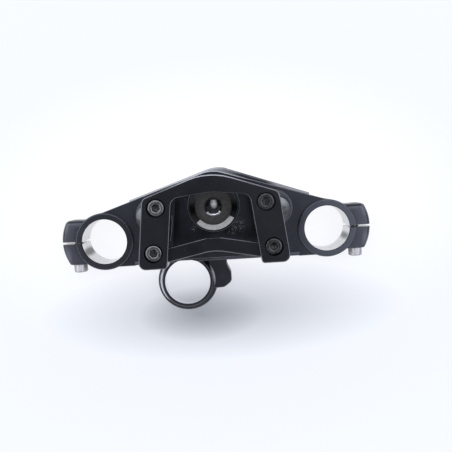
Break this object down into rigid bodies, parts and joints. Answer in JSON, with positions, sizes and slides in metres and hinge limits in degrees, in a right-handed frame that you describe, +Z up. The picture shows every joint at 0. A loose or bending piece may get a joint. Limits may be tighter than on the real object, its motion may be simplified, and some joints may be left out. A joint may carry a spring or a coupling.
{
  "type": "motorcycle triple clamp",
  "caption": "Upper triple clamp of a motorcycle, with pinched fork clamps, an offset ignition lock ring, a stem bolt and raised handlebar clamps under a windowed cap.",
  "frame": {"origin": "on the steering stem's axis, in the plane of the underside of the fork clamps", "axes": "+Z up along the steering stem's axis, -Y forward towards the fork clamps, +X to the right for someone who faces the part's front"},
  "size_m": [0.2842, 0.1328, 0.09],
  "materials": {
    "yoke_paint": "satin",
    "riser_paint": "satin",
    "cap_paint": "satin",
    "zinc_steel": "satin",
    "dull_steel": "satin",
    "stem_steel": "satin",
    "washer_steel": "satin"
  },
  "bodies": {
    "root": {"top_yoke": "yoke_paint", "bar_clamp_left": "riser_paint", "bar_clamp_right": "riser_paint", "handlebar_cap": "cap_paint", "cap_screw_left_rear": "zinc_steel", "cap_screw_left_front": "zinc_steel", "cap_screw_right_rear": "dull_steel", "cap_screw_right_front": "dull_steel", "riser_bolt_left": "zinc_steel", "riser_bolt_right": "zinc_steel", "riser_washer_left": "zinc_steel", "riser_washer_right": "zinc_steel", "pinch_bolt_left": "zinc_steel", "pinch_bolt_right": "zinc_steel", "stem_bolt": "stem_steel", "stem_washer": "washer_steel"}
  },
  "joints": []
}
